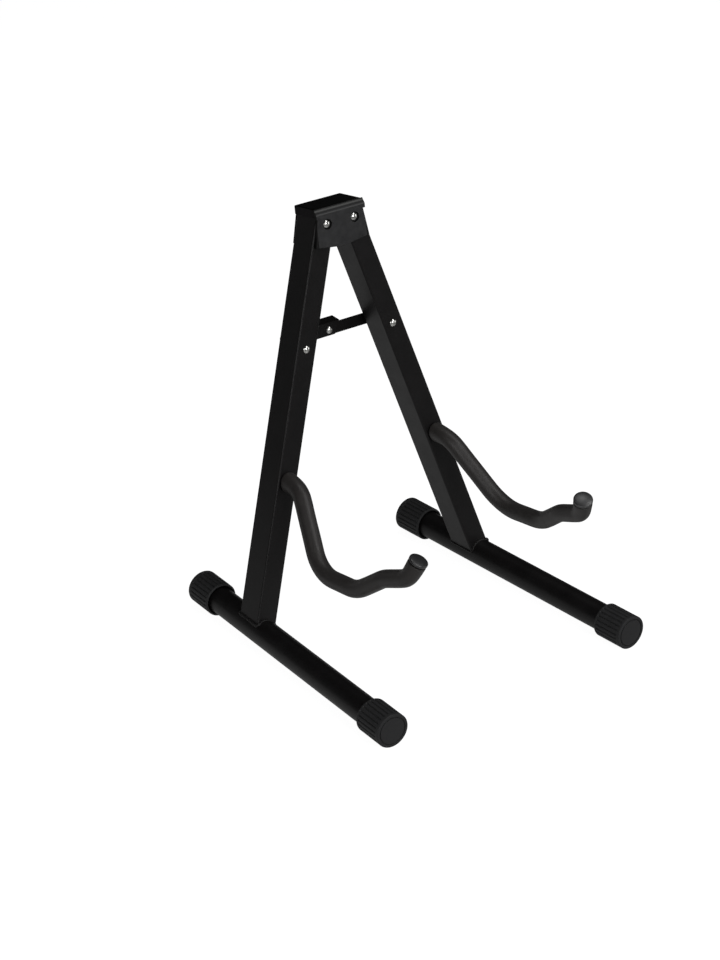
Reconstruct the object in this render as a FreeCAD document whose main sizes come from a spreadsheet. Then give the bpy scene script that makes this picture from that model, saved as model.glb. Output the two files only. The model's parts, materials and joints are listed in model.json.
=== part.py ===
import FreeCAD, Part
import math
import os
import re

import Sketcher
from FreeCAD import Placement, Rotation, Vector

# Folding A-frame stand for a guitar. X runs to the stand's right as seen from the front, Y to the back, Z up.
# The origin is on the floor, in the middle of the four feet.

# Driving dimensions: millimetres, degrees and counts.
sizes = {
    # stance
    "splay": 17.4,             # slant of each leg to its own side, in the plane of the legs
    "lean": 9.1,               # lean of that plane to the back
    "hinge_spacing": 30,       # between the two hinge rivets
    # legs: rectangular steel tube
    "leg_length": 369,         # hinge rivet to foot axis
    "leg_top": 4.4,            # tube above the hinge rivet
    "leg_width": 20.7,
    "leg_depth": 28.7,
    "leg_wall": 1.2,
    "leg_corner": 1.6,
    "weld_gap": 0.05,          # between a cut end and the tube that it is welded to
    # feet: round steel tube with rubber caps
    "foot_diameter": 25,
    "foot_wall": 1.2,
    "foot_front": 212.6,       # leg axis to the front cap's end
    "foot_rear": 92.2,         # leg axis to the rear cap's end
    "cap_wall": 3.4,
    "cap_length": 32,
    "cap_floor": 3,
    "cap_edge": 0.9,           # bevel round the closed end
    "cap_mouth": 2,            # bevel round the open end
    "cap_fit": 0.05,           # radial play on the tube
    "disc_inset": 3.7,         # cap's outside to the plain disc in its end
    "disc_gap": 1,
    "disc_depth": 1,
    "flute_count": 24,
    "flute_diameter": 2,
    "flute_depth": 1,
    "flute_start": 3,
    # cradle arms: bent rod in a foam sleeve; from one corner to the next, a run forward and a drop or lift
    "rod_diameter": 10,
    "sleeve_diameter": 16,
    "sleeve_fit": 0.2,
    "sleeve_gap": 1.5,         # bare rod between the leg and the sleeve
    "arm_rise": 136,           # foot axis to the arm's root, up the leg
    "shoulder_run": 19,
    "shoulder_bend": 22,
    "heel_run": 47,
    "heel_drop": 66.5,
    "heel_bend": 40,
    "dip_run": 54,
    "dip_drop": 1.5,
    "dip_bend": 36,
    "crest_run": 33.5,
    "crest_lift": 19,
    "crest_bend": 27,
    "toe_run": 32,
    "toe_lift": 8,
    "toe_bend": 14,
    "tip_run": 8.5,
    "tip_lift": 15.5,
    "tip_rim": 0.7,            # tip cap past the sleeve
    "tip_flange": 3,
    "tip_dome": 1.4,
    "tip_socket": 2.4,         # rod's length inside the tip cap
    "tip_seam": 0.3,           # dark seam between sleeve and tip cap
    "tip_fit": 0.05,
    # folding strut
    "strut_drop": 112,         # hinge rivet to strut rivet, down the leg
    "link_height": 10.4,
    "link_thickness": 1.5,
    "strip_flat": 0.4,         # straight bit between the round corners of the strip link's ends
    "link_overrun": 11.5,      # angle link's flange past the centre rivet
    "link_slant": 6,           # the wall below it ends this much shorter at its lower edge
    "link_gap": 0.2,           # between the two links' faces
    "flange_depth": 10.5,
    "flange_tilt": 12,         # rise of the flange to the back
    "flange_gap": 0.3,         # strip's top edge to the flange that stops it
    "flange_corner": 2,
    "flange_start": 8,         # from the left rivet, so that the rivet's tail has room
    "strut_standoff": 3,       # leg's back face to the angle link
    "spacer_diameter": 9,
    "strut_shank": 4,
    "strut_head": 7,
    "strut_dome": 1.6,
    "split_gap": 0.3,          # opening in the right rivet, where the linkage is open
    "pin_fit": 0.05,           # radial running clearance of every rivet
    # hinge head: moulded housing and front plate
    "crown_gap": 0.3,          # skirt to the leg's top corner, at its nearest in the fold
    "crown_ledge": 1,          # crown in front of the plates' inner faces
    "crown_top": 14.9,         # above the hinge rivets
    "crown_wall": 1.2,
    "crown_roof": 2,
    "crown_round": 0.6,        # upright corners
    "crown_edge": 1,           # rounding round the top
    "skirt_bottom": 7,
    "plate_gap": 0.3,          # between a leg and the plates beside it
    "plate_thickness": 3.35,
    "plate_edge": 0.5,         # rounding round each plate's outer face
    "plate_top": 9.8,          # above the hinge rivets
    "plate_top_margin": 0.2,   # front plate's top corner past the crown's inside
    "rear_top_margin": -2,     # rear plate's top corner past the crown's inside
    "plate_foot_inset": 2.6,   # plate's foot corner inside the leg's outer edge
    "plate_drop": 19,          # plate's outer corners below the rivets
    "plate_point": 23,         # plate's middle below the rivets
    "lip_overhang": 1.3,       # lip's end past the crown
    "lip_bottom": 6.2,
    "lip_edge": 3.8,
    "lip_proud": 0.7,
    "hinge_shank": 5,
    "hinge_head": 7.6,
    "hinge_dome": 1.6,
    "recess_diameter": 9.4,
    "recess_depth": 1.4,
}

doc = FreeCAD.newDocument("guitar_stand")
sheet = doc.addObject("Spreadsheet::Sheet", "Sizes")
for row, (word, number) in enumerate(sizes.items(), start=1):
    sheet.set("A%d" % row, word)
    sheet.set("B%d" % row, str(number))
    sheet.setAlias("B%d" % row, word)
doc.recompute()

# Sizes that follow from the driving ones
toe_out = "atan(sin(lean) * tan(splay))"
foot_tilt = "asin(cos(%s) * sin(lean) / cos(splay))" % toe_out
cap_radius = "(foot_diameter / 2 + cap_fit + cap_wall)"
disc_radius = "(%s - disc_inset)" % cap_radius
link_length = "(hinge_spacing / 2 + strut_drop * sin(splay))"
plate_inside = "(leg_depth / 2 + plate_gap)"
plate_outside = "(leg_depth / 2 + plate_gap + plate_thickness)"
angle_front = "(leg_depth / 2 + strut_standoff)"
strip_front = "(leg_depth / 2 + strut_standoff + link_thickness + link_gap)"
tip_length = "sqrt(tip_run^2 + tip_lift^2)"
crown_half_depth = "(leg_depth / 2 + plate_gap + crown_ledge)"
crown_inside = "(hinge_spacing / 2 + sqrt(leg_width^2 / 4 + leg_top^2 - skirt_bottom^2) + crown_gap)"
crown_outside = "(%s + crown_wall)" % crown_inside

# Corners of an arm in the leg's own frame: how far forward of the leg's axis, and how far up from the hinge
arm_corners = {}
forward, upward = "leg_depth / 2", "arm_rise - leg_length"
for name, step in (("shoulder", "+ 0"), ("heel", "- heel_drop"), ("dip", "- dip_drop"),
                   ("crest", "+ crest_lift"), ("toe", "+ toe_lift"), ("tip", "+ tip_lift")):
    forward, upward = "%s + %s_run" % (forward, name), "%s %s" % (upward, step)
    arm_corners[name] = "-(%s)" % forward, upward


def cell(text):
    """Expression text with the sheet's name before each of its words."""
    return re.sub(r"[a-z_]+", lambda word: ("Sizes." if word.group() in sizes else "") + word.group(), text)


def value(text):
    """Number that an expression gives now."""
    result = sheet.evalExpression(cell(text))
    return float(getattr(result, "Value", result))


def tie(item, prop, text):
    item.setExpression(prop, cell(text))


def new_body(label):
    body = doc.addObject("PartDesign::Body", label)
    body.Label = label
    return body


def new_sketch(body, name, role, away="0"):
    """Sketch on one of the body's own planes, moved off it along its normal."""
    sketch = body.newObject("Sketcher::SketchObject", name)
    plane = next(item for item in body.Origin.OriginFeatures if item.Role == role)
    sketch.AttachmentSupport = [(plane, "")]
    sketch.MapMode = "FlatFace"
    if away != "0":
        tie(sketch, "AttachmentOffset.Base.z", away)
    return sketch


def fix(sketch, kind, geometry, text):
    """Radius or diameter of one curve."""
    row = sketch.addConstraint(Sketcher.Constraint(kind, geometry, value(text)))
    tie(sketch, "Constraints[%d]" % row, text)


def pin(sketch, geometry, end, across, up):
    """Place of one point of a curve, measured from the sketch's origin."""
    for kind, text, axis in (("DistanceX", across, -2), ("DistanceY", up, -1)):
        if text == "0":
            sketch.addConstraint(Sketcher.Constraint("PointOnObject", geometry, end, axis))
        else:
            row = sketch.addConstraint(Sketcher.Constraint(kind, -1, 1, geometry, end, value(text)))
            tie(sketch, "Constraints[%d]" % row, text)


def circle(sketch, across, up, diameter):
    middle = Vector(value(across), value(up), 0)
    ring = sketch.addGeometry(Part.Circle(middle, Vector(0, 0, 1), value(diameter) / 2))
    pin(sketch, ring, 3, across, up)
    fix(sketch, "Diameter", ring, diameter)


def rounded_box(sketch, left, right, bottom, top, radius):
    """Rectangle with round corners: four sides and four tangent arcs."""
    x0, x1, y0, y1, r = (value(text) for text in (left, right, bottom, top, radius))
    sides = [((x0 + r, y0), (x1 - r, y0)), ((x1, y0 + r), (x1, y1 - r)),
             ((x1 - r, y1), (x0 + r, y1)), ((x0, y1 - r), (x0, y0 + r))]
    middles = [(x1 - r, y0 + r), (x1 - r, y1 - r), (x0 + r, y1 - r), (x0 + r, y0 + r)]
    lines = [sketch.addGeometry(Part.LineSegment(Vector(*a, 0), Vector(*b, 0))) for a, b in sides]
    arcs = []
    for number, middle in enumerate(middles):
        ring = Part.Circle(Vector(*middle, 0), Vector(0, 0, 1), r)
        start = math.radians(90 * number - 90)
        arcs.append(sketch.addGeometry(Part.ArcOfCircle(ring, start, start + math.pi / 2)))
    for number in range(4):
        direction = "Vertical" if number % 2 else "Horizontal"
        sketch.addConstraint(Sketcher.Constraint(direction, lines[number]))
        sketch.addConstraint(Sketcher.Constraint("Tangent", lines[number], 2, arcs[number], 1))
        sketch.addConstraint(Sketcher.Constraint("Tangent", arcs[number], 2, lines[(number + 1) % 4], 1))
    for other in arcs[1:]:
        sketch.addConstraint(Sketcher.Constraint("Equal", arcs[0], other))
    fix(sketch, "Radius", arcs[0], radius)
    for kind, line, text in (("DistanceY", 0, bottom), ("DistanceX", 1, right),
                             ("DistanceY", 2, top), ("DistanceX", 3, left)):
        row = sketch.addConstraint(Sketcher.Constraint(kind, -1, 1, lines[line], 1, value(text)))
        tie(sketch, "Constraints[%d]" % row, text)


def outline(sketch, points, domes=()):
    """Closed outline through the points; the stretches numbered in domes are arcs round the upright axis."""
    spots = [Vector(value(across), value(up), 0) for across, up in points]
    stretches = []
    for number, start in enumerate(spots):
        end = spots[(number + 1) % len(spots)]
        if number in domes:
            height = (end.x ** 2 + end.y ** 2 - start.x ** 2 - start.y ** 2) / (2 * (end.y - start.y))
            middle = Vector(0, height, 0)
            half = (start + end) * 0.5 - middle
            top = middle + half * ((start - middle).Length / half.Length)
            curve = sketch.addGeometry(Part.Arc(start, top, end))
            sketch.addConstraint(Sketcher.Constraint("PointOnObject", curve, 3, -2))
        else:
            curve = sketch.addGeometry(Part.LineSegment(start, end))
        first = 1 if (sketch.getPoint(curve, 1) - start).Length < 1e-6 else 2
        stretches.append((curve, first, 3 - first))
    for number, (curve, first, last) in enumerate(stretches):
        following, start, _ = stretches[(number + 1) % len(stretches)]
        sketch.addConstraint(Sketcher.Constraint("Coincident", curve, last, following, start))
        pin(sketch, curve, first, *points[number])


def pad(body, sketch, length, both_ways=False, backwards=False):
    solid = body.newObject("PartDesign::Pad", "pad")
    solid.Profile = sketch
    solid.SideType = "Symmetric" if both_ways else "One side"
    solid.Reversed = backwards
    tie(solid, "Length", length)
    return solid


def pocket(body, sketch, length=None, both_ways=False, backwards=False):
    """Cut along the sketch's normal, right through where no length is given."""
    cut = body.newObject("PartDesign::Pocket", "pocket")
    cut.Profile = sketch
    cut.SideType = "Symmetric" if both_ways else "One side"
    cut.Reversed = backwards
    if length is None:
        cut.Type = "ThroughAll"
    else:
        tie(cut, "Length", length)
    return cut


def turned(body, points, domes=()):
    """Solid turned about the body's Y axis; each point is a radius and a place along that axis."""
    sketch = new_sketch(body, "profile", "XY_Plane")
    outline(sketch, points, domes)
    solid = body.newObject("PartDesign::Revolution", "turning")
    solid.Profile = sketch
    solid.ReferenceAxis = (sketch, ["V_Axis"])
    solid.Angle = 360
    return solid


def rounded(body, radius, wanted):
    """Round off those open edges of the body so far whose middle passes the test."""
    doc.recompute()
    last = body.Tip
    names = ["Edge%d" % number for number, edge in enumerate(last.Shape.Edges, start=1)
             if len(edge.Vertexes) == 2 and wanted(edge.CenterOfMass)]
    rounding = body.newObject("PartDesign::Fillet", "rounding")
    rounding.Base = (last, names)
    tie(rounding, "Radius", radius)


def bent_path(sketch, corners, start, end):
    """Straight runs from start to end, with a tangent arc of the given radius at each corner."""
    ends = [start] + [corner[:2] for corner in corners] + [end]
    spots = [Vector(value(across), value(up), 0) for across, up in ends]
    marks = []
    for number, corner in enumerate(corners, start=1):
        here = spots[number]
        before = (spots[number - 1] - here).normalize()
        after = (spots[number + 1] - here).normalize()
        half = before.getAngle(after) / 2
        radius = value(corner[2])
        middle = here + (before + after).normalize() * (radius / math.sin(half))
        tangent = radius / math.tan(half)
        inner = middle - (before + after).normalize() * radius
        marks.append((here + before * tangent, inner, here + after * tangent))
    runs = []
    for number in range(len(ends) - 1):
        first = spots[0] if number == 0 else marks[number - 1][2]
        last = spots[-1] if number == len(corners) else marks[number][0]
        runs.append(sketch.addGeometry(Part.LineSegment(first, last)))
    pin(sketch, runs[0], 1, *start)
    pin(sketch, runs[-1], 2, *end)
    for number, corner in enumerate(corners):
        arc = sketch.addGeometry(Part.Arc(*marks[number]))
        entry = 1 if (sketch.getPoint(arc, 1) - marks[number][0]).Length < 1e-6 else 2
        sketch.addConstraint(Sketcher.Constraint("Tangent", runs[number], 2, arc, entry))
        sketch.addConstraint(Sketcher.Constraint("Tangent", arc, 3 - entry, runs[number + 1], 1))
        fix(sketch, "Radius", arc, corner[2])
        point = sketch.addGeometry(Part.Point(spots[number + 1]), True)
        pin(sketch, point, 1, corner[0], corner[1])
        sketch.addConstraint(Sketcher.Constraint("PointOnObject", point, 1, runs[number]))
        sketch.addConstraint(Sketcher.Constraint("PointOnObject", point, 1, runs[number + 1]))


# Pieces. A leg's own frame has its origin at the hinge rivet, Z up the tube and Y to the back.

def leg_tube(label):
    body = new_body(label)
    section = new_sketch(body, "section", "XY_Plane", "leg_top")
    rounded_box(section, "-leg_width / 2", "leg_width / 2", "-leg_depth / 2", "leg_depth / 2", "leg_corner")
    across, deep = "(leg_width / 2 - leg_wall)", "(leg_depth / 2 - leg_wall)"
    rounded_box(section, "-" + across, across, "-" + deep, deep, "leg_corner - leg_wall")
    pad(body, section, "leg_length + leg_top", backwards=True)
    # the lower end is cut round to sit on the foot tube
    saddle = new_sketch(body, "saddle", "XZ_Plane")
    saddle.AttachmentOffset = Placement(Vector(), Rotation(Vector(1, 0, 0), 1))
    tie(saddle, "AttachmentOffset.Base.y", "-leg_length")
    tie(saddle, "AttachmentOffset.Rotation.Angle", foot_tilt)
    circle(saddle, "0", "0", "foot_diameter + 2 * weld_gap")
    pocket(body, saddle, both_ways=True)
    holes = new_sketch(body, "rivet_holes", "XZ_Plane")
    circle(holes, "0", "0", "hinge_shank + 2 * pin_fit")
    circle(holes, "0", "-strut_drop", "strut_shank + 2 * pin_fit")
    pocket(body, holes, both_ways=True)
    return body


def foot_tube(label):
    """Tube along Y with the leg's axis at the origin; both ends stop on the floors of the caps."""
    body = new_body(label)
    section = new_sketch(body, "section", "XZ_Plane", "foot_front - cap_floor")
    circle(section, "0", "0", "foot_diameter")
    circle(section, "0", "0", "foot_diameter - 2 * foot_wall")
    pad(body, section, "foot_front + foot_rear - 2 * cap_floor", backwards=True)
    return body


def foot_cap(label):
    """Ribbed cap, closed at the origin and open towards +Y."""
    body = new_body(label)
    bore = "foot_diameter / 2 + cap_fit"
    turned(body, [
        ("0", "0"), (disc_radius, "0"), (disc_radius, "disc_depth"),
        (disc_radius + " + disc_gap", "disc_depth"), (disc_radius + " + disc_gap", "0"),
        (cap_radius + " - cap_edge", "0"), (cap_radius, "cap_edge"),
        (cap_radius, "cap_length - cap_mouth"), (cap_radius + " - cap_mouth", "cap_length"),
        (bore, "cap_length"), (bore, "cap_floor"), ("0", "cap_floor")])
    flute = new_sketch(body, "flute", "XZ_Plane", "-flute_start")
    ring = "(%s + flute_diameter / 2 - flute_depth)" % cap_radius
    circle(flute, ring + " * cos(180 / flute_count)", ring + " * sin(180 / flute_count)", "flute_diameter")
    cut = pocket(body, flute, "cap_length")
    flutes = body.newObject("PartDesign::PolarPattern", "flutes")
    flutes.Originals = [cut]
    flutes.Axis = (next(item for item in body.Origin.OriginFeatures if item.Role == "Y_Axis"), [""])
    flutes.Angle = 360
    tie(flutes, "Occurrences", "flute_count")
    body.Tip = flutes
    return body


def arm_pipe(label, diameters, gap, beyond):
    """Round bar or tube along the arm's bends, from a gap off the leg to a length past the tip point."""
    body = new_body(label)
    bends = [(*arm_corners[name], name + "_bend") for name in ("shoulder", "heel", "dip", "crest", "toe")]
    root_rise = "arm_rise - leg_length"
    start = ("-(leg_depth / 2 + %s)" % gap, root_rise)
    end = ("%s - %s * tip_run / %s" % (arm_corners["tip"][0], beyond, tip_length),
           "%s + %s * tip_lift / %s" % (arm_corners["tip"][1], beyond, tip_length))
    path = new_sketch(body, "path", "YZ_Plane")
    bent_path(path, bends, start, end)
    section = new_sketch(body, "section", "XZ_Plane", "leg_depth / 2 + " + gap)
    for diameter in diameters:
        circle(section, "0", root_rise, diameter)
    pipe = body.newObject("PartDesign::AdditivePipe", "pipe")
    pipe.Profile = section
    pipe.Spine = path
    return body


def arm_tip(label):
    """Domed cap, open at the origin, where it sits over the rod's end; its top points to -Y."""
    body = new_body(label)
    socket, rim = "rod_diameter / 2 + tip_fit", "sleeve_diameter / 2 + tip_rim"
    turned(body, [
        (socket, "0"), (rim, "0"), (rim, "-tip_flange"),
        ("0", "-tip_flange - tip_dome"), ("0", "-tip_socket"), (socket, "-tip_socket")], domes=(2,))
    return body


def rivet(label, shank, head, dome, front, rear):
    """Solid rivet along Y with a domed head under each end of the length from front to rear."""
    body = new_body(label)
    turned(body, [
        ("0", "%s - %s" % (front, dome)), (head + " / 2", front), (shank + " / 2", front),
        (shank + " / 2", rear), (head + " / 2", rear), ("0", "%s + %s" % (rear, dome))], domes=(0, 4))
    return body


def half_rivet(label, head_at, cut_at, dome):
    """One part of a split rivet: a domed head at one place and a flat cut end at the other."""
    body = new_body(label)
    turned(body, [("0", "%s %s" % (head_at, dome)), ("strut_head / 2", head_at), ("strut_shank / 2", head_at),
                  ("strut_shank / 2", cut_at), ("0", cut_at)], domes=(0,))
    return body


def spacer(label, length):
    """Plain ring on a strut rivet, from the leg's back face to the rear."""
    body = new_body(label)
    section = new_sketch(body, "section", "XZ_Plane", "-leg_depth / 2")
    circle(section, "0", "0", "spacer_diameter")
    circle(section, "0", "0", "strut_shank + 2 * pin_fit")
    pad(body, section, length, backwards=True)
    return body


def angle_link(label):
    """Left half of the strut: a folded angle whose top flange stops the strip. Origin at the left rivet."""
    body = new_body(label)
    side = new_sketch(body, "side", "XZ_Plane", "-%s" % angle_front)
    under = "link_height / 2 + flange_gap"
    top = under + " + link_thickness"
    end = link_length + " + link_overrun"
    rounded_box(side, "-link_height / 2", end, "-link_height / 2", top, "flange_corner")
    pad(body, side, "link_thickness", backwards=True)
    slant = new_sketch(body, "slant", "XZ_Plane")
    lower_end, past_end = end + " - link_slant", end + " + link_slant"
    outline(slant, [(lower_end, "-link_height / 2"), (lower_end, "-link_height"), (past_end, "-link_height"),
                    (past_end, under), (end, under)])
    pocket(body, slant, both_ways=True)
    flange = new_sketch(body, "flange", "YZ_Plane", "flange_start")
    back, rise = angle_front + " + flange_depth * cos(flange_tilt)", " + flange_depth * sin(flange_tilt)"
    outline(flange, [
        (angle_front, under), (angle_front, top), (back, top + rise),
        (back + " + link_thickness * sin(flange_tilt)", top + rise + " - link_thickness * cos(flange_tilt)"),
        (angle_front + " + link_thickness", under)])
    pad(body, flange, "%s - flange_start" % end)
    holes = new_sketch(body, "rivet_holes", "XZ_Plane")
    circle(holes, "0", "0", "strut_shank + 2 * pin_fit")
    circle(holes, link_length, "0", "strut_shank + 2 * pin_fit")
    pocket(body, holes, both_ways=True)
    return body


def strip_link(label):
    """Right half of the strut: a flat strip with round ends. Origin at the centre rivet."""
    body = new_body(label)
    side = new_sketch(body, "side", "XZ_Plane", "-%s" % strip_front)
    rounded_box(side, "-link_height / 2", link_length + " + link_height / 2",
                "-link_height / 2", "link_height / 2", "(link_height - strip_flat) / 2")
    pad(body, side, "link_thickness", backwards=True)
    holes = new_sketch(body, "rivet_holes", "XZ_Plane")
    circle(holes, "0", "0", "strut_shank + 2 * pin_fit")
    circle(holes, link_length, "0", "strut_shank + 2 * pin_fit")
    pocket(body, holes, both_ways=True)
    return body


def head_plate(body, away, margin, backwards=False):
    """One of the head's two plates, with its inner face at the given place."""
    top_half = "(%s + %s)" % (crown_inside, margin)
    leg_edge = "hinge_spacing / 2 + leg_width / 2 / cos(splay) + plate_drop * tan(splay)"
    foot_half = "(%s - plate_foot_inset)" % leg_edge
    side = new_sketch(body, "plate", "XZ_Plane", away)
    outline(side, [("-" + top_half, "plate_top"), ("-" + foot_half, "-plate_drop"), ("0", "-plate_point"),
                   (foot_half, "-plate_drop"), (top_half, "plate_top")])
    pad(body, side, "plate_thickness", backwards=backwards)


def rivet_seats(body, away, backwards=False):
    """Two rivet holes through a plate, each with a recess for the rivet's head in the plate's outer face."""
    holes = new_sketch(body, "rivet_holes", "XZ_Plane")
    recesses = new_sketch(body, "recesses", "XZ_Plane", away)
    for place in ("-hinge_spacing / 2", "hinge_spacing / 2"):
        circle(holes, place, "0", "hinge_shank + 2 * pin_fit")
        circle(recesses, place, "0", "recess_diameter")
    pocket(body, holes, both_ways=True)
    pocket(body, recesses, "recess_depth", backwards=backwards)


def hinge_housing(label):
    """Rear part of the head: a hollow crown over the leg ends and a plate behind them, open to the front."""
    body = new_body(label)
    crown = new_sketch(body, "crown", "XY_Plane", "skirt_bottom")
    outline(crown, [("-" + crown_outside, "-" + crown_half_depth), (crown_outside, "-" + crown_half_depth),
                    (crown_outside, crown_half_depth), ("-" + crown_outside, crown_half_depth)])
    pad(body, crown, "crown_top - skirt_bottom")
    head_plate(body, "-" + plate_inside, "rear_top_margin", backwards=True)
    room = new_sketch(body, "room", "XY_Plane", "skirt_bottom")
    outline(room, [("-" + crown_inside, "-" + plate_inside), (crown_inside, "-" + plate_inside),
                   (crown_inside, plate_inside), ("-" + crown_inside, plate_inside)])
    pocket(body, room, "crown_top - crown_roof - skirt_bottom", backwards=True)
    # the front wall ends at the top of the front plate
    seat = new_sketch(body, "seat", "YZ_Plane")
    past_front, below = "-(%s + crown_ledge)" % crown_half_depth, "skirt_bottom - crown_wall"
    outline(seat, [(past_front, below), ("-" + plate_inside, below),
                   ("-" + plate_inside, "plate_top"), (past_front, "plate_top")])
    pocket(body, seat, both_ways=True)
    rivet_seats(body, "-" + plate_outside, backwards=True)
    top, back, side = value("crown_top"), value(crown_half_depth), value(crown_outside)
    rounded(body, "crown_round",
            lambda middle: abs(middle.y - back) < 1e-4 and abs(abs(middle.x) - side) < 1e-4)
    rounded(body, "crown_edge", lambda middle: abs(middle.z - top) < 1e-4 and middle.y > 1e-4 - back)
    face = value(plate_outside)
    rounded(body, "plate_edge", lambda middle: abs(middle.y - face) < 1e-4)
    return body


def front_plate(label):
    """Front part of the head: a plate before the leg ends, with a sloping lip along the crown's edge."""
    body = new_body(label)
    head_plate(body, plate_inside, "plate_top_margin")
    lip = new_sketch(body, "lip", "YZ_Plane")
    lip_front = "-(%s + lip_proud)" % plate_outside
    outline(lip, [("-" + crown_half_depth, "lip_bottom"), (lip_front, "lip_bottom"),
                  (lip_front, "lip_bottom + lip_edge"), ("-" + crown_half_depth, "crown_top")])
    pad(body, lip, "2 * (%s + lip_overhang)" % crown_outside, both_ways=True)
    rivet_seats(body, plate_outside)
    face, lip_foot = -value(plate_outside), value("lip_bottom")
    rounded(body, "plate_edge", lambda middle: abs(middle.y - face) < 1e-4 and middle.z < lip_foot - 1e-4)
    return body


# Places. The legs turn about axes square to their leaning plane, so the level feet toe out a little.
splay, lean = value("splay"), value("lean")
down_leg = value("leg_length * cos(splay)")
foot_y = value("(foot_front - foot_rear) / 2 * cos(%s)" % toe_out)
hinge_y = foot_y + down_leg * math.sin(math.radians(lean))
hinge_z = value(cap_radius) + down_leg * math.cos(math.radians(lean))
hinge_frame = Placement(Vector(0, hinge_y, hinge_z), Rotation(Vector(1, 0, 0), -lean))


def move(x, y, z):
    return Placement(Vector(x, y, z), Rotation())


placed = [(hinge_housing("hinge_housing"), hinge_frame), (front_plate("hinge_front_plate"), hinge_frame)]
recess_floor = "(%s - recess_depth)" % plate_outside
for side, hand in ((-1, "left"), (1, "right")):
    hinge_x = side * value("hinge_spacing") / 2
    leg_frame = hinge_frame * Placement(Vector(hinge_x, 0, 0), Rotation(Vector(0, 1, 0), -side * splay))
    foot_centre = leg_frame.multVec(Vector(0, 0, -value("leg_length")))
    foot_frame = Placement(foot_centre, Rotation(Vector(0, 0, 1), side * value(toe_out)))
    turned_round = Placement(Vector(0, value("foot_rear"), 0), Rotation(Vector(0, 0, 1), 180))
    tip_point = Vector(0, *(value(text) for text in arm_corners["tip"]))
    tip_angle = math.degrees(math.atan2(value("tip_lift"), value("tip_run")))
    tip_frame = Placement(tip_point, Rotation(Vector(1, 0, 0), -tip_angle)) * move(0, -value("tip_seam"), 0)
    strut_frame = hinge_frame * move(side * value(link_length), 0, -value("strut_drop * cos(splay)"))

    placed.append((rivet(hand + "_hinge_rivet", "hinge_shank", "hinge_head", "hinge_dome",
                         "-" + recess_floor, recess_floor), hinge_frame * move(hinge_x, 0, 0)))
    placed.append((leg_tube(hand + "_leg_tube"), leg_frame))
    placed.append((foot_tube(hand + "_foot_tube"), foot_frame))
    placed.append((foot_cap(hand + "_front_cap"), foot_frame * move(0, -value("foot_front"), 0)))
    placed.append((foot_cap(hand + "_rear_cap"), foot_frame * turned_round))
    placed.append((arm_pipe(hand + "_arm_rod", ["rod_diameter"], "0", "(tip_seam + tip_socket)"), leg_frame))
    placed.append((arm_pipe(hand + "_arm_sleeve", ["sleeve_diameter", "rod_diameter + 2 * sleeve_fit"],
                            "sleeve_gap", "0"), leg_frame))
    placed.append((arm_tip(hand + "_arm_tip"), leg_frame * tip_frame))

    if side < 0:
        placed.append((rivet("left_strut_rivet", "strut_shank", "strut_head", "strut_dome", "-leg_depth / 2",
                             angle_front + " + link_thickness"), strut_frame))
        placed.append((spacer("left_strut_spacer", "strut_standoff"), strut_frame))
        placed.append((angle_link("left_strut_link"), strut_frame))
    else:
        placed.append((half_rivet("right_strut_rivet", "-leg_depth / 2", strip_front + " - split_gap",
                                  "- strut_dome"), strut_frame))
        placed.append((half_rivet("right_strut_rivet_tail", strip_front + " + link_thickness", strip_front,
                                  "+ strut_dome"), strut_frame))
        placed.append((spacer("right_strut_spacer", "strut_standoff + link_thickness + link_gap - split_gap"),
                       strut_frame))

centre_frame = hinge_frame * move(0, 0, -value("strut_drop * cos(splay)"))
placed.append((strip_link("right_strut_link"), centre_frame))
placed.append((rivet("strut_center_rivet", "strut_shank", "strut_head", "strut_dome", angle_front,
                     strip_front + " + link_thickness"), centre_frame))

for body, place in placed:
    body.Placement = place
doc.recompute()

for item in doc.Objects:
    if "Invalid" in item.State or "Error" in item.State:
        raise RuntimeError("%s did not build: %s" % (item.Label, item.State))
for body, place in placed:
    if body.Shape.isNull() or not body.Shape.isValid() or len(body.Shape.Solids) != 1:
        raise RuntimeError("%s is not one valid solid" % body.Label)

os.makedirs("parts", exist_ok=True)
for body, place in placed:
    body.Shape.exportStep("parts/%s.step" % body.Label)
    print("%-24s volume %9.1f mm3" % (body.Label, body.Shape.Volume))
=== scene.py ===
import json
import math

import bmesh
import bpy
import numpy as np
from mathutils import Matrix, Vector


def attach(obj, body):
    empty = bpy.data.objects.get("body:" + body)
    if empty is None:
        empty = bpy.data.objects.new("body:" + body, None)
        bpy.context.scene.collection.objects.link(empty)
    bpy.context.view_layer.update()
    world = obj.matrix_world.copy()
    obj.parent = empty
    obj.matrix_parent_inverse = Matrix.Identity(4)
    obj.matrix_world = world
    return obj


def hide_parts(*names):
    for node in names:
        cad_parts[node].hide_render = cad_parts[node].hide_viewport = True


# Folding guitar stand: black coated steel, moulded hinge head, ribbed rubber feet, foam on the arms.
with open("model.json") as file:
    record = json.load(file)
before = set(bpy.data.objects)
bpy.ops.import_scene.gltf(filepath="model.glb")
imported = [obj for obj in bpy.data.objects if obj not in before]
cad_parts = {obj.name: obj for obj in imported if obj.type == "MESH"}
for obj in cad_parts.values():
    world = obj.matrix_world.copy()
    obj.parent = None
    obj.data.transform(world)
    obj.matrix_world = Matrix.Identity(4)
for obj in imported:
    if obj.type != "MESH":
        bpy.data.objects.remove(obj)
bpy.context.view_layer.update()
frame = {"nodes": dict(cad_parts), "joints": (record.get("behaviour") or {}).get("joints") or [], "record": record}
nodes = frame["nodes"]
joints = {joint["name"]: joint for joint in frame["joints"]}
mm = 0.001
# the head's directions: across, to the back along the hinge rivets, and up; and the middle between the rivets
headAcross = np.array([1.0, 0, 0])
headBack = -np.array(joints["left_leg_fold"]["axis"])
headUp = np.cross(headAcross, headBack)
headMiddle = np.array(joints["left_leg_fold"]["pos_m"]) * [0, 1, 1]


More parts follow.
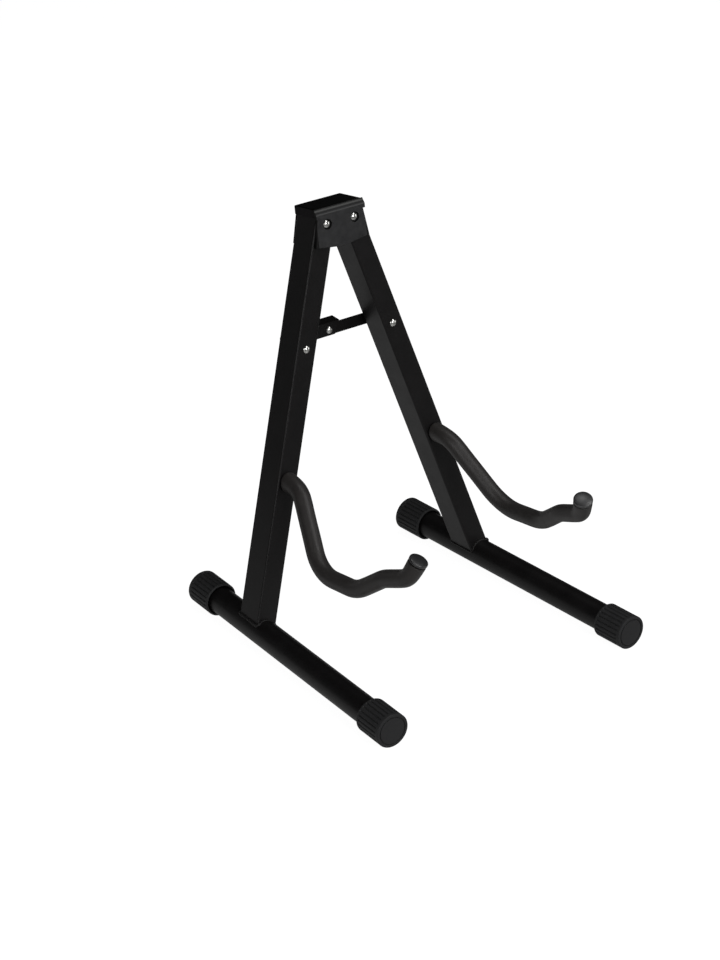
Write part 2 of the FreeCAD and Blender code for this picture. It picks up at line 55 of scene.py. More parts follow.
# colour as written on a swatch (sRGB), turned to linear light
def hexColour(text):
    part = np.array([int(text[i:i + 2], 16) for i in (1, 3, 5)]) / 255
    linear = np.where(part <= 0.04045, part / 12.92, ((part + 0.055) / 1.055) ** 2.4)
    return (*linear.tolist(), 1.0)


# one node with its settings; an input that is a socket is linked, any other value is set
def addNode(tree, kind, inputs=None, **settings):
    node = tree.nodes.new(kind)
    for key, value in settings.items():
        setattr(node, key, value)
    for key, value in (inputs or {}).items():
        if isinstance(value, bpy.types.NodeSocket):
            tree.links.new(value, node.inputs[key])
        else:
            node.inputs[key].default_value = value
    return node


# noise scale that gives features of this size, since object coordinates are in metres
def grain(sizeInMm):
    return 1000 / sizeInMm


# an empty material, with its node tree and its object coordinates
def newMaterial(name):
    material = bpy.data.materials.new(name)
    material.use_nodes = True
    tree = material.node_tree
    tree.nodes.clear()
    where = addNode(tree, "ShaderNodeTexCoord").outputs["Object"]
    return material, tree, where


# a finish with a mottled base colour, uneven gloss and surface relief at one or more sizes
def mouldedOrCoated(name, look):
    material, tree, where = newMaterial(name)
    mottle = addNode(tree, "ShaderNodeTexNoise",
                     {"Vector": where, "Scale": grain(look["mottle"]), "Detail": 4.0, "Roughness": 0.6})
    colour = addNode(tree, "ShaderNodeMix",
                     {"Factor": mottle.outputs["Fac"], "A": hexColour(look["dark"]),
                      "B": hexColour(look["light"])}, data_type="RGBA").outputs["Result"]
    # painted shade: each patch paints part of a finish darker, where shade falls
    # another tone where all its ramps are up; a ramp goes from one distance to another along a head direction
    for paintedTone, ramps in look.get("paintedShadePatches", ()):
        share = 1.0
        for direction, first, second in ramps:
            reach = addNode(tree, "ShaderNodeVectorMath", {0: where, 1: direction.tolist()},
                            operation="DOT_PRODUCT")
            start = float(headMiddle @ direction)
            ramp = addNode(tree, "ShaderNodeMapRange",
                           {"Value": reach.outputs["Value"], "From Min": start + first * mm,
                            "From Max": start + second * mm})
            share = addNode(tree, "ShaderNodeMath", {0: share, 1: ramp.outputs["Result"]},
                            operation="MULTIPLY").outputs["Value"]
        colour = addNode(tree, "ShaderNodeMix", {"Factor": share, "A": colour, "B": hexColour(paintedTone)},
                         data_type="RGBA").outputs["Result"]
    # painted highlights and shade: pale and dark lines painted along edges of the head
    # another tone along straight edges from side to side, each at its depth and height in the head, full in
    # the middle third of its width
    for paintedTone, half, depth, height in look.get("edges", ()):
        edge = headMiddle + (headBack * depth + headUp * height) * mm
        beside = addNode(tree, "ShaderNodeVectorMath", {0: where, 1: (0, 1, 1)}, operation="MULTIPLY")
        beside = addNode(tree, "ShaderNodeVectorMath", {0: beside.outputs["Vector"], 1: edge.tolist()},
                         operation="DISTANCE")
        share = addNode(tree, "ShaderNodeMapRange",
                        {"Value": beside.outputs["Value"], "From Min": half * mm, "From Max": half * mm / 3})
        colour = addNode(tree, "ShaderNodeMix",
                         {"Factor": share.outputs["Result"], "A": colour, "B": hexColour(paintedTone)},
                         data_type="RGBA").outputs["Result"]
    gloss = addNode(tree, "ShaderNodeMapRange",
                    {"Value": mottle.outputs["Fac"], "From Min": 0.3, "From Max": 0.7,
                     "To Min": look["rough"][0], "To Max": look["rough"][1]})
    normal = None
    for size, depth in look["relief"]:
        bumps = addNode(tree, "ShaderNodeTexNoise",
                        {"Vector": where, "Scale": grain(size), "Detail": 2.0, "Roughness": 0.5})
        links = {"Height": bumps.outputs["Fac"], "Strength": 1.0, "Distance": depth * mm}
        if normal:
            links["Normal"] = normal.outputs["Normal"]
        normal = addNode(tree, "ShaderNodeBump", links)
    shader = addNode(tree, "ShaderNodeBsdfPrincipled",
                     {"Base Color": colour, "Roughness": gloss.outputs["Result"],
                      "Normal": normal.outputs["Normal"], **look["shader"]})
    addNode(tree, "ShaderNodeOutputMaterial", {"Surface": shader.outputs["BSDF"]})
    return material


# polyester powder coat baked on steel: near black, half gloss, with a fine orange peel
powderCoat = mouldedOrCoated("powder_coated_steel", {
    "dark": "#0b0a0a", "light": "#121011", "mottle": 18, "rough": (0.36, 0.44),
    "relief": ((1.4, 0.022), (0.5, 0.010)), "shader": {"IOR": 1.5, "Specular IOR Level": 0.26}})

# smooth nylon of the head's rear part, half glossy from a polished mould; its top is painted near black as shade
crownNylon = mouldedOrCoated("moulded_nylon", {
    "dark": "#181718", "light": "#201f20", "mottle": 9, "rough": (0.28, 0.34),
    # painted shade: the top band painted near black, as little light reaches it from above
    "paintedShadePatches": (("#030303", ((headUp, 13.8, 14.6),)),),
    "relief": ((2.4, 0.012), (0.8, 0.006)), "shader": {"IOR": 1.53, "Specular IOR Level": 0.03}})

# glass-filled nylon of the head's front plate: greyer, with the grain of a spark-eroded mould; painted shade
# blackens its rim, ends and lip's top, and painted highlights make two pale lines on the lip, shade between them
plateNylon = mouldedOrCoated("textured_nylon", {
    "dark": "#161617", "light": "#383839", "mottle": 7, "rough": (0.48, 0.58),
    # painted shade: the plate's rim and both its ends painted near black
    "paintedShadePatches": (("#040404", ((headBack, -17.8, -17.5), (headUp, 6.3, 6.1))),
                ("#040404", ((headAcross, 26.3, 26.5),)), ("#040404", ((-headAcross, 26.3, 26.5),))),
    # painted highlights and shade: pale lines where the lip's edges catch light, dark where they miss it
    "edges": (("#060606", 1.1, -15.65, 14.9), ("#464645", 1.0, -16.6, 13.3),
              ("#131313", 1.1, -17.55, 11.8), ("#404040", 0.8, -18.65, 10.1)),
    "relief": ((0.7, 0.030), (3.0, 0.025)), "shader": {"IOR": 1.53, "Specular IOR Level": 0.20}})

# moulded PVC rubber: dull black with a faint grey bloom
capRubber = mouldedOrCoated("moulded_rubber", {
    "dark": "#202021", "light": "#2a2a2b", "mottle": 6, "rough": (0.50, 0.62),
    "relief": ((0.6, 0.022),), "shader": {"IOR": 1.52, "Specular IOR Level": 0.25}})

# closed-cell nitrile foam with its skin on: satin, with a fine cell pattern
sleeveFoam = mouldedOrCoated("skinned_foam", {
    "dark": "#242221", "light": "#2c2928", "mottle": 7, "rough": (0.43, 0.51),
    "relief": ((0.8, 0.045), (5.0, 0.060)),
    "shader": {"IOR": 1.45, "Specular IOR Level": 0.50, "Sheen Weight": 0.04, "Sheen Roughness": 0.4}})

# polyethylene end plug: smooth from the mould, glossier than the foam
plugPlastic = mouldedOrCoated("moulded_polyethylene", {
    "dark": "#1e1e1f", "light": "#262627", "mottle": 5, "rough": (0.34, 0.42),
    "relief": ((1.2, 0.010),), "shader": {"IOR": 1.51, "Specular IOR Level": 0.85}})

# nickel-plated steel, pressed to a dome: bright, with faint tool marks
rivetSteel = mouldedOrCoated("plated_steel", {
    "dark": "#c8c8c4", "light": "#e8e8e4", "mottle": 1.5, "rough": (0.16, 0.24),
    "relief": ((0.5, 0.008),), "shader": {"Metallic": 1.0}})
print("materials made:", len(bpy.data.materials))

# every solid that stays takes the finish of its own slot in the record
finishes = {"black_coated_steel": powderCoat, "moulded_plastic": crownNylon, "plate_plastic": plateNylon,
            "cap_rubber": capRubber, "sleeve_foam": sleeveFoam, "rivet_steel": rivetSteel}
for row in frame["record"]["subparts"]:
    solid = nodes[row["node"]]
    solid.data.materials.clear()
    solid.data.materials.append(finishes[row["material_slot"]])


# an object in the scene, from its mesh, lamp or camera data
def inScene(name, data):
    thing = bpy.data.objects.new(name, data)
    bpy.context.scene.collection.objects.link(thing)
    return thing


# grid of points to a mesh of quads; rows may close on themselves as columns do, and equal points are merged
def gridPiece(name, points, material, closedRows=False, closedColumns=True):
    rows, columns = points.shape[:2]
    index = np.arange(rows * columns).reshape(rows, columns)
    if closedRows:
        index = np.vstack([index, index[:1]])
    if closedColumns:
        index = np.hstack([index, index[:, :1]])
    quads = np.stack([index[:-1, :-1], index[:-1, 1:], index[1:, 1:], index[1:, :-1]], axis=-1)
    mesh = bpy.data.meshes.new(name)
    mesh.from_pydata(points.reshape(-1, 3).tolist(), [], quads.reshape(-1, 4).tolist())
    shape = bmesh.new()
    shape.from_mesh(mesh)
    bmesh.ops.remove_doubles(shape, verts=shape.verts, dist=1e-7)
    bmesh.ops.recalc_face_normals(shape, faces=shape.faces)
    shape.to_mesh(mesh)
    shape.free()
    mesh.polygons.foreach_set("use_smooth", np.ones(len(mesh.polygons), bool))
    mesh.materials.append(material)
    return inScene(name, mesh)


# the legs' own spaces: x across the leg, y to the back, z up the tube, all in mm from the hinge rivet
stance = {"splay": 17.4, "legLength": 369, "legWidth": 20.7, "legDepth": 28.7, "legCorner": 1.6,
          "footDiameter": 25, "footFront": 212.6, "footRear": 92.2}


# axes of one leg as rows, from its hinge joint and its splay, and the level line that its foot points along
def legSpace(hand, side):
    hinge = np.array(joints[hand + "_leg_fold"]["pos_m"])
    splay = math.radians(stance["splay"])
    axes = np.array([headAcross * math.cos(splay) + headUp * side * math.sin(splay), headBack,
                     headUp * math.cos(splay) - headAcross * side * math.sin(splay)])
    toeOut = side * math.atan(-headBack[2] * math.tan(splay))
    footLine = np.array([-math.sin(toeOut), math.cos(toeOut), 0])
    return {"hand": hand, "side": side, "body": hand + "_leg", "hinge": hinge, "axes": axes,
            "footLine": footLine}


# points in leg millimetres to metres in the stand's frame
def placed(leg, points):
    return leg["hinge"] + points @ leg["axes"] * mm


legs = [legSpace("left", -1), legSpace("right", 1)]


# corner points joined by straight runs, with a tangent arc of its own radius in place of each inner corner
def bentLine(corners, radii, arcPoints):
    pieces = [corners[:1]]
    for here, before, after, radius in zip(corners[1:-1], corners[:-2], corners[2:], radii):
        inward = (before - here) / np.linalg.norm(before - here)
        outward = (after - here) / np.linalg.norm(after - here)
        half = math.acos(np.clip(inward @ outward, -1, 1)) / 2
        middle = here + (inward + outward) / np.linalg.norm(inward + outward) * radius / math.sin(half)
        turn = np.linspace(-1, 1, arcPoints)[:, None] * (math.pi / 2 - half)
        apex = (here - middle) / np.linalg.norm(here - middle)
        flank = outward - apex * (outward @ apex)
        flank /= np.linalg.norm(flank)
        pieces.append(middle + radius * (apex * np.cos(turn) + flank * np.sin(turn)))
    return np.vstack(pieces + [corners[-1:]])


# distance run along a line of points
def runLength(line):
    return np.concatenate([[0], np.cumsum(np.linalg.norm(np.diff(line, axis=0), axis=1))])


# points of a line at given distances along it
def pointsAt(line, stations):
    run = runLength(line)
    return np.stack([np.interp(stations, run, line[:, i]) for i in range(line.shape[1])], axis=-1)


# running mean with bell-shaped weights, the width in steps
def softened(values, width):
    reach = int(3 * width)
    weight = np.exp(-0.5 * (np.arange(-reach, reach + 1) / width) ** 2)
    return np.convolve(np.pad(values, reach, mode="edge"), weight / weight.sum(), mode="valid")


# smooth step from 0 at the first value to 1 at the second
def eased(values, first, second):
    t = np.clip((values - first) / (second - first), 0, 1)
    return t * t * (3 - 2 * t)


# rings round a straight line: radius by row and column, place along the line by row, columns going round
def rings(start, axis, radius, along, turn):
    side = np.cross(axis, [0, 0, 1])
    side /= np.linalg.norm(side)
    around = side * np.cos(turn)[:, None] + np.cross(side, axis) * np.sin(turn)[:, None]
    return start + (axis * along[:, None, None] + around * radius[..., None]) * mm


# foam sleeve on the bent arm: foam thins outside a bend, swells inside it and creases where the bend is
# tight; pushed home, it flares at the top of its root against the leg, and a little all round at its tip
sleeve = {"diameter": 16, "bore": 10.4, "gap": 0.9, "tipGap": 0.5, "rise": 136,
          "runs": ((19, 0), (47, -66.5), (54, -1.5), (33.5, 19), (32, 8), (8.5, 15.5)),
          "bends": (22, 40, 36, 27, 14), "bendPoints": 41, "softCurve": 4, "softHeading": 2,
          "edge": 0.7, "edgePoints": 6, "step": 0.8, "boreSkip": 6, "sides": 72,
          "swell": 0.075, "flare": 2.4, "tipFlare": 0.55, "flareReach": 9,
          "crease": 0.16, "creasePitch": 3.4, "creaseFrom": 0.30, "creaseSpan": 0.25,
          "unevenness": 0.07, "unevenReach": 19, "unevenRates": (2.1, 3.7)}


# the arm's corners in its own plane, from the leg's face: how far forward of the leg's axis and how far up
def armCorners():
    root = np.array([stance["legDepth"] / 2, sleeve["rise"] - stance["legLength"]])
    return np.vstack([root, root + np.cumsum(sleeve["runs"], axis=0)])


def foamSleeve(leg):
    radius, bore, edge = sleeve["diameter"] / 2, sleeve["bore"] / 2, sleeve["edge"]
    corners = armCorners()
    corners[0] += [sleeve["gap"], 0]
    bends = bentLine(corners, sleeve["bends"], sleeve["bendPoints"])
    length = runLength(bends)[-1] - sleeve["tipGap"]
    along = np.linspace(0, length, int(length / sleeve["step"]) + 1)
    line = pointsAt(bends, along)
    heading = np.unwrap(np.arctan2(*np.gradient(line, along, axis=0).T[::-1]))
    curve = softened(np.gradient(heading, along), sleeve["softCurve"])
    heading = softened(heading, sleeve["softHeading"])
    # wall as (station, radius): up the root's face, along the outside, down the tip's face and back inside
    end, inside = along[-1], along[::-sleeve["boreSkip"]]
    ring = np.array([[0, bore], [0, radius], [end, radius], [end, bore]])
    outside = along[(along > edge) & (along < end - edge)]
    wall = bentLine(ring, (edge, edge), sleeve["edgePoints"])
    split = 1 + sleeve["edgePoints"]
    station = np.concatenate([[0, 0], wall[1:split, 0], outside, wall[split:, 0], inside])
    reach = np.concatenate([[bore, (bore + radius) / 2], wall[1:split, 1], outside * 0 + radius,
                            wall[split:, 1], inside * 0 + bore])
    turn = np.linspace(0, 2 * math.pi, sleeve["sides"], endpoint=False)
    at, bend = (np.interp(station, along, values)[:, None] for values in (heading, curve))
    centre = pointsAt(line, station)[:, None]
    inner = np.cos(turn)[None] * np.sign(bend)          # 1 on the inside of a bend
    tight = np.abs(bend) * radius
    outer = (reach[:, None] - bore) / (radius - bore)
    swell = sleeve["swell"] * tight * radius * inner
    root, tip = (np.exp(-(gone[:, None] / sleeve["flareReach"]) ** 2)
                 for gone in (station, end - station))
    swell += sleeve["flare"] * root * np.clip(np.cos(turn), 0, 1) + sleeve["tipFlare"] * tip
    ridge = np.clip((tight - sleeve["creaseFrom"]) / sleeve["creaseSpan"], 0, 1)
    ridge = ridge * np.clip(inner, 0, 1) ** 2
    ridge = ridge * np.sin(2 * math.pi * station[:, None] / sleeve["creasePitch"]) * sleeve["crease"]
    wave = station[:, None] / sleeve["unevenReach"] + leg["side"]
    slow, fast = sleeve["unevenRates"]
    uneven = sleeve["unevenness"] * (np.sin(wave * slow + 2 * turn) + np.sin(wave * fast - turn)) / 2
    thick = reach[:, None] + outer * (swell + ridge + uneven)
    # normal of the line lies in the arm's plane, a quarter turn from the heading
    forward = centre[..., 0] - thick * np.cos(turn) * np.sin(at)
    upward = centre[..., 1] + thick * np.cos(turn) * np.cos(at)
    points = placed(leg, np.stack([thick * np.sin(turn), -forward, upward], axis=-1))
    piece = gridPiece(leg["hand"] + "_foam_sleeve", points, sleeveFoam, closedRows=True)
    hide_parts(leg["hand"] + "_arm_sleeve")
    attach(piece, leg["body"])


# end plug of an arm: a low dome with a round shoulder, drawn in below to a neck, hollow for the rod
plug = {"radius": 8.7, "shoulder": 3.0, "shoulderRound": 1.0, "domeEdge": 7.4, "dome": 1.4, "domeRows": 16,
        "rimFoot": 0.8, "footRound": 0.4, "neck": 7.5, "neckTop": 0.4, "neckRound": 0.3,
        "socket": 5.05, "socketDepth": 2.4, "socketRound": 0.2, "arcPoints": 7, "seam": 0.3, "sides": 96}


def endPlug(leg):
    corners = armCorners()
    tip = corners[-1]
    out = (tip - corners[-2]) / np.linalg.norm(tip - corners[-2])
    dome = np.linspace(0, plug["domeEdge"], plug["domeRows"])
    rise = plug["shoulder"] + plug["dome"] * (1 - (dome / plug["radius"]) ** 2)
    below = np.array([[dome[-1], rise[-1]], [plug["radius"], plug["shoulder"]],
                      [plug["radius"], plug["rimFoot"]], [plug["neck"], plug["neckTop"]],
                      [plug["neck"], 0], [plug["socket"], 0],
                      [plug["socket"], plug["socketDepth"]], [0, plug["socketDepth"]]])
    rounds = (plug["shoulderRound"], plug["footRound"], plug["neckRound"]) + (plug["socketRound"],) * 3
    edge = bentLine(below, rounds, plug["arcPoints"])
    profile = np.vstack([np.stack([dome, rise], axis=-1), edge[1:]])
    turn = np.linspace(0, 2 * math.pi, plug["sides"], endpoint=False)
    start = placed(leg, np.array([0, -tip[0], tip[1]]) + plug["seam"] * np.array([0, -out[0], out[1]]))
    axis = np.array([0, -out[0], out[1]]) @ leg["axes"]
    radius = np.repeat(profile[:, :1], plug["sides"], axis=1)
    points = rings(start, axis, radius, profile[:, 1], turn)
    piece = gridPiece(leg["hand"] + "_end_plug", points, plugPlastic)
    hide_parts(leg["hand"] + "_arm_tip")
    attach(piece, leg["body"])


for leg in legs:
    foamSleeve(leg)
    endPlug(leg)
print("foam sleeves and end plugs made")

# ribbed rubber foot cap: a disc in a narrow groove, a plain rim, then flutes to the open end, whose bore
# widens to a lead-in for the tube
cap = {"radius": 15.95, "length": 32, "disc": 12.25, "discRound": 0.35, "groove": 1, "grooveDepth": 1,
       "grooveRound": 0.25, "rimRound": 0.8, "mouthRound": 1.4, "lead": 1.8, "leadDepth": 4.5,
       "leadRound": 0.2, "bore": 12.55, "boreRound": 0.5, "floor": 3, "floorRound": 0.3, "arcPoints": 6,
       "flutes": 24, "fluteDepth": 1.1, "fluteHalf": 0.62, "fluteStart": 3, "fluteEnd": 1.5,
       "fluteFade": 1.4, "rowsBefore": 0.6, "rowsWithin": 2, "startRows": 9, "endRows": 8,
       "plainRows": (12, 19), "columns": 14}


def footCap(leg, end):
    outer, mouth = cap["radius"], cap["length"]
    ringOut, bore = cap["disc"] + cap["groove"], cap["bore"]
    corners = np.array([[0, 0], [cap["disc"], 0], [cap["disc"], cap["grooveDepth"]],
                        [ringOut, cap["grooveDepth"]], [ringOut, 0], [outer, 0],
                        [outer, mouth], [bore + cap["lead"], mouth],
                        [bore, mouth - cap["leadDepth"]], [bore, cap["floor"]], [0, cap["floor"]]])
    rounds = (cap["discRound"], cap["grooveRound"], cap["grooveRound"], cap["discRound"], cap["rimRound"],
              cap["mouthRound"], cap["leadRound"], cap["boreRound"], cap["floorRound"])
    line = bentLine(corners, rounds, cap["arcPoints"])
    # more rows on the side, which follows the fifth round, close together where the flutes begin and end
    sideStart = runLength(line)[5 * cap["arcPoints"]] - cap["rimRound"]
    begin, finish = cap["fluteStart"], mouth - cap["fluteEnd"]
    extra = sideStart + np.concatenate([
        np.linspace(begin - cap["rowsBefore"], begin + cap["rowsWithin"], cap["startRows"]),
        cap["plainRows"], np.linspace(finish - cap["rowsWithin"], finish, cap["endRows"])])
    profile = pointsAt(line, np.sort(np.concatenate([runLength(line), extra])))
    turn = np.linspace(0, 2 * math.pi, cap["flutes"] * cap["columns"], endpoint=False)
    # a flute dips by its depth, as a bell with a flat bottom, and fades at both ends
    pitch = 2 * math.pi * outer / cap["flutes"]
    offset = (turn * cap["flutes"] / (2 * math.pi) % 1 - 0.5) * pitch
    dip = cap["fluteDepth"] * np.exp(-(offset / cap["fluteHalf"]) ** 4)
    fade = eased(profile[:, 1], begin, begin + cap["fluteFade"])
    fade *= eased(profile[:, 1], finish, finish - cap["fluteFade"])
    radius = np.minimum(profile[:, :1], outer - fade[:, None] * dip)
    # the bore and the floor stay round
    hollow = np.arange(len(profile)) > np.argmax(profile[:, 1])
    radius[hollow] = profile[hollow, :1]
    reach, way = (-stance["footFront"], 1) if end == "front" else (stance["footRear"], -1)
    start = placed(leg, np.array([0, 0, -stance["legLength"]])) + leg["footLine"] * reach * mm
    points = rings(start, leg["footLine"] * way, radius, profile[:, 1], turn)
    piece = gridPiece("%s_%s_ribbed_cap" % (leg["hand"], end), points, capRubber)
    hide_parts("%s_%s_cap" % (leg["hand"], end))
    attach(piece, leg["body"])


for leg in legs:
    footCap(leg, "front")
    footCap(leg, "rear")
print("ribbed caps made")

# weld beads: one round each leg where it stands on its foot, one round each arm where it leaves the leg
weld = {"footBead": 1.15, "outerBead": 0.45, "blob": 0.9, "blobHalf": 3.0, "cornerPoints": 13, "aside": 0.1,
        "rootBead": 1.05, "rootGap": 0.2, "rootBlob": 0.6, "rootBlobTurn": 35, "rootBlobHalf": 0.5,
        "ripple": 0.10, "pitch": 2.3, "drift": 1.5, "driftRate": 3,
        "slowWaves": ((0.8, 5, 1), (0.6, 11, 0)), "step": 0.35, "sides": 14}


# bead along a closed line: a round section in the plane of the two given directions, its radius by row
def weldBead(name, leg, line, outward, upward, radius):
    turn = np.linspace(0, 2 * math.pi, weld["sides"], endpoint=False)
    cosine, sine = np.cos(turn)[None, :, None], np.sin(turn)[None, :, None]
    section = outward[:, None] * cosine + upward[:, None] * sine
    points = placed(leg, line[:, None] + section * radius[:, None, None])
    piece = gridPiece(name, points, powderCoat, closedRows=True)
    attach(piece, leg["body"])


# ripples of a hand-made bead: a main wave that drifts and two slower ones, so that no two humps are alike
def ripples(run, length):
    turns = 2 * math.pi * run / length
    count = round(length / weld["pitch"])
    wave = np.sin(count * turns + weld["drift"] * np.sin(weld["driftRate"] * turns))
    for share, rate, phase in weld["slowWaves"]:
        wave += share * np.sin(rate * turns + phase)
    return 1 + weld["ripple"] * wave


# the leg's outline where it meets the foot tube: at each point of the section, the height where the
# distance from the foot's line is the tube's radius; heavier on the outer side, a blob at its front corner
def footWeld(leg):
    width, depth, corner = stance["legWidth"] / 2, stance["legDepth"] / 2, stance["legCorner"]
    box = np.array([[0, -depth], [width, -depth], [width, depth], [-width, depth], [-width, -depth],
                    [0, -depth]])
    outline = bentLine(box, (corner,) * 4, weld["cornerPoints"])
    length = runLength(outline)[-1]
    run = np.linspace(0, length, int(length / weld["step"]), endpoint=False)
    spot = pointsAt(outline, run)
    after, before = (pointsAt(outline, (run + aside) % length) for aside in (weld["aside"], -weld["aside"]))
    ahead = after - before
    outward = np.stack([ahead[:, 1], -ahead[:, 0], run * 0], axis=-1)
    outward /= np.linalg.norm(ahead, axis=1)[:, None]
    line = leg["axes"] @ leg["footLine"]
    flat = spot @ line[:2]
    a, b = 1 - line[2] ** 2, -2 * line[2] * flat
    c = (spot ** 2).sum(axis=1) - flat ** 2 - (stance["footDiameter"] / 2) ** 2
    height = (-b + np.sqrt(b * b - 4 * a * c)) / (2 * a)
    path = np.column_stack([spot, height - stance["legLength"]])
    upward = np.tile([0.0, 0, 1], (len(run), 1))
    outerSide = eased(leg["side"] * spot[:, 0], 0, width)
    gap = np.hypot(spot[:, 0] - leg["side"] * width, spot[:, 1] + depth)
    radius = (weld["footBead"] + weld["outerBead"] * outerSide) * ripples(run, length)
    radius += weld["blob"] * np.exp(-(gap / weld["blobHalf"]) ** 2)
    weldBead(leg["hand"] + "_foot_weld", leg, path, outward, upward, radius)


# a circle round the rod on the leg's front face, with a blob low on its outer side
def rootWeld(leg):
    rod = sleeve["bore"] / 2 - weld["rootGap"]
    length = 2 * math.pi * rod
    run = np.linspace(0, length, int(length / weld["step"]), endpoint=False)
    turn = run / rod
    outward = np.stack([np.cos(turn), turn * 0, np.sin(turn)], axis=-1)
    path = outward * rod + [0, -stance["legDepth"] / 2, sleeve["rise"] - stance["legLength"]]
    forward = np.tile([0.0, -1, 0], (len(run), 1))
    low = math.radians(leg["side"] * weld["rootBlobTurn"] - 90)
    fromLow = np.angle(np.exp(1j * (turn - low)))
    blob = weld["rootBlob"] * np.exp(-(fromLow / weld["rootBlobHalf"]) ** 2)
    radius = weld["rootBead"] * ripples(run, length)
    outward = outward * (1 + blob / radius)[:, None]
    weldBead(leg["hand"] + "_arm_weld", leg, path, outward, forward, radius)


for leg in legs:
    footWeld(leg)
    rootWeld(leg)
print("weld beads made")

# soft studio light: a broad lamp in front, a smaller one high on its right, weaker ones on both sides, behind
# and overhead, all turned to the middle of the stand; places and sizes in metres, power in watts
lamps = {"key": {"from": (-0.2, -2.35, 1.2), "size": 1.2, "power": 22},
         "high": {"from": (0.8, -1.07, 2.05), "size": 0.6, "power": 10},
         "left": {"from": (-2.1, -1.05, 1.0), "size": 1.4, "power": 15},
         "right": {"from": (2.1, -1.2, 0.6), "size": 1.2, "power": 7},
         "back": {"from": (-0.6, 2.3, 0.15), "size": 1.0, "power": 1.6},
         "top": {"from": (0.30, 0.20, 2.1), "size": 0.8, "power": 5.6}}
target = Vector((0, 0, 0.17))
for name, lamp in lamps.items():
    bulb = bpy.data.lights.new(name, "AREA")
    bulb.size, bulb.energy = lamp["size"], lamp["power"]
    holder = inScene(name + "_lamp", bulb)
    holder.location = lamp["from"]
    holder.rotation_euler = (target - holder.location).to_track_quat("-Z", "Y").to_euler()


# what looks at a point: 1 for the camera itself, and 1 for a mirror or glass that shows it
def lookers(tree):
    rays = addNode(tree, "ShaderNodeLightPath").outputs
    mirror = addNode(tree, "ShaderNodeMath", {0: rays["Is Glossy Ray"], 1: rays["Is Transmission Ray"]},
                     operation="MAXIMUM")
    return rays["Is Camera Ray"], mirror.outputs["Value"]


# world: white to the eye; as light, bright at the horizon and dark overhead; dim in reflections; each fades
# from one level to the other between two heights of the direction
studio = {"light": {"horizon": 0.40, "overhead": 0.05, "fade": (0.15, 0.55)},
          "mirror": {"horizon": 0.10, "overhead": 0.015, "fade": (0.0, 0.03)}}
world = bpy.data.worlds.new("studio")
bpy.context.scene.world = world
world.use_nodes = True
tree = world.node_tree
tree.nodes.clear()
direction = addNode(tree, "ShaderNodeTexCoord").outputs["Generated"]
height = addNode(tree, "ShaderNodeSeparateXYZ", {"Vector": direction}).outputs["Z"]
shed, mirrored = (addNode(tree, "ShaderNodeMapRange",
                          {"Value": height, "From Min": sky["fade"][0], "From Max": sky["fade"][1],
                           "To Min": sky["horizon"], "To Max": sky["overhead"]},
                          interpolation_type="SMOOTHSTEP").outputs["Result"]
                  for sky in (studio["light"], studio["mirror"]))
eye, mirror = lookers(tree)
level = addNode(tree, "ShaderNodeMix", {"Factor": mirror, "A": shed, "B": mirrored}).outputs["Result"]
level = addNode(tree, "ShaderNodeMix", {"Factor": eye, "A": level, "B": 1.0}).outputs["Result"]
sky = addNode(tree, "ShaderNodeBackground", {"Color": (1, 1, 1, 1), "Strength": level})
addNode(tree, "ShaderNodeOutputWorld", {"Surface": sky.outputs["Background"]})

# floor: pale matt paper that keeps the stand's shadow; its glow lifts it to white for the eye, and shows in
# reflections as a pool of light that fades away from the stand; in metres, but drop and fibres in mm
floor = {"half": 6.0, "drop": 0.1, "colour": "#808080", "fibre": 4, "fibreDepth": 0.02, "glow": 0.95,
         "poolAt": (-0.12, 0.12, 0), "poolSquash": (1.0, 0.6, 1.0), "poolNear": 0.15, "poolFar": 0.7,
         "poolMiddle": 0.35, "poolEdge": 0.03}
paper, tree, where = newMaterial("matt_paper")
fibre = addNode(tree, "ShaderNodeTexNoise",
                {"Vector": where, "Scale": grain(floor["fibre"]), "Detail": 3.0})
relief = addNode(tree, "ShaderNodeBump",
                 {"Height": fibre.outputs["Fac"], "Strength": 0.2, "Distance": floor["fibreDepth"] * mm})
matt = addNode(tree, "ShaderNodeBsdfDiffuse",
               {"Color": hexColour(floor["colour"]), "Normal": relief.outputs["Normal"]})
spot = addNode(tree, "ShaderNodeVectorMath", {0: where, 1: floor["poolSquash"]}, operation="MULTIPLY")
away = addNode(tree, "ShaderNodeVectorMath", {0: spot.outputs["Vector"], 1: floor["poolAt"]},
               operation="DISTANCE")
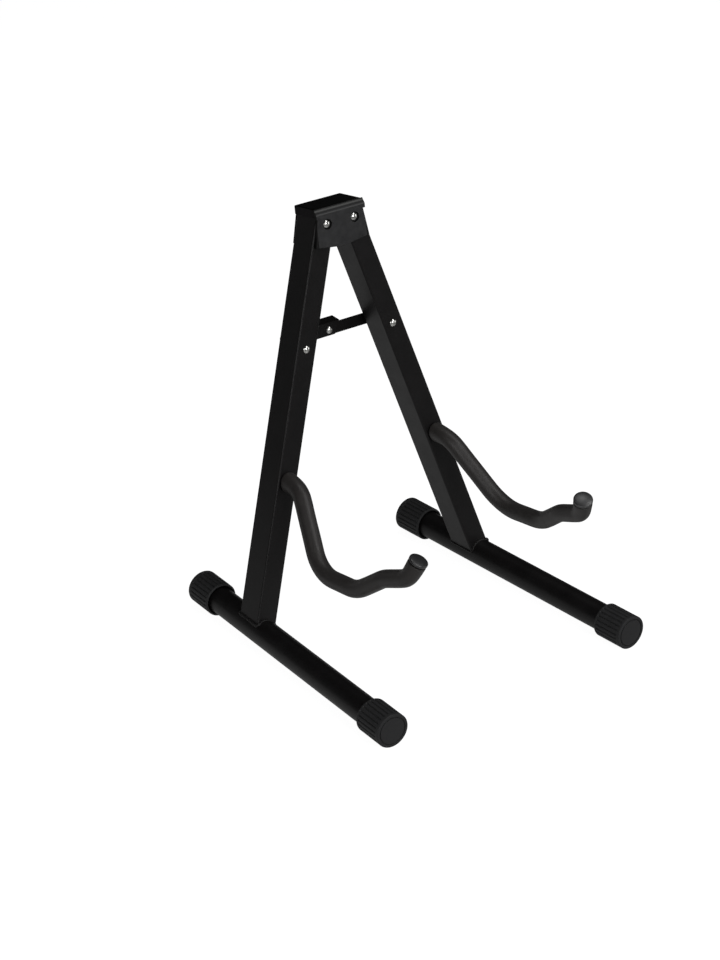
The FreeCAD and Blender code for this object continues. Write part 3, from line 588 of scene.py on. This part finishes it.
pool = addNode(tree, "ShaderNodeMapRange",
               {"Value": away.outputs["Value"], "From Min": floor["poolNear"], "From Max": floor["poolFar"],
                "To Min": floor["poolMiddle"], "To Max": floor["poolEdge"]}, interpolation_type="SMOOTHSTEP")
eye, mirror = lookers(tree)
shown = addNode(tree, "ShaderNodeMath", {0: mirror, 1: pool.outputs["Result"]}, operation="MULTIPLY")
sight = addNode(tree, "ShaderNodeMath", {0: eye, 1: shown.outputs["Value"]}, operation="MAXIMUM")
lift = addNode(tree, "ShaderNodeMath", {0: sight.outputs["Value"], 1: floor["glow"]}, operation="MULTIPLY")
shine = addNode(tree, "ShaderNodeEmission", {"Color": (1, 1, 1, 1), "Strength": lift.outputs["Value"]})
total = addNode(tree, "ShaderNodeAddShader", {0: matt.outputs["BSDF"], 1: shine.outputs["Emission"]})
addNode(tree, "ShaderNodeOutputMaterial", {"Surface": total.outputs["Shader"]})
half, below = floor["half"], -floor["drop"] * mm
corners = np.array([[[-half, -half, below], [half, -half, below]],
                    [[-half, half, below], [half, half, below]]])
gridPiece("floor", corners, paper, closedColumns=False)
print("studio made")

# camera where the photograph was taken from: its place in mm, the angles round and above the stand, the focal
# length in pixels of a frame this tall, and the clipping distances in metres
lens = {"place": (-1355.31, -1702.36, 1257.5), "round": -37.39, "above": 26.97, "focalPixels": 2746.9,
        "tallPixels": 960, "sensor": 36, "near": 0.05, "far": 50}
camera = inScene("camera", bpy.data.cameras.new("camera"))
camera.data.sensor_width = lens["sensor"]
camera.data.lens = lens["focalPixels"] / lens["tallPixels"] * lens["sensor"]
camera.data.clip_start, camera.data.clip_end = lens["near"], lens["far"]
around, above = math.radians(lens["round"]), math.radians(lens["above"])
backward = Vector((math.sin(around) * math.cos(above), -math.cos(around) * math.cos(above),
                   math.sin(above)))
camera.location = Vector(lens["place"]) * mm
camera.rotation_euler = (-backward).to_track_quat("-Z", "Y").to_euler()
bpy.context.scene.camera = camera
bpy.context.scene.view_settings.view_transform = "Standard"
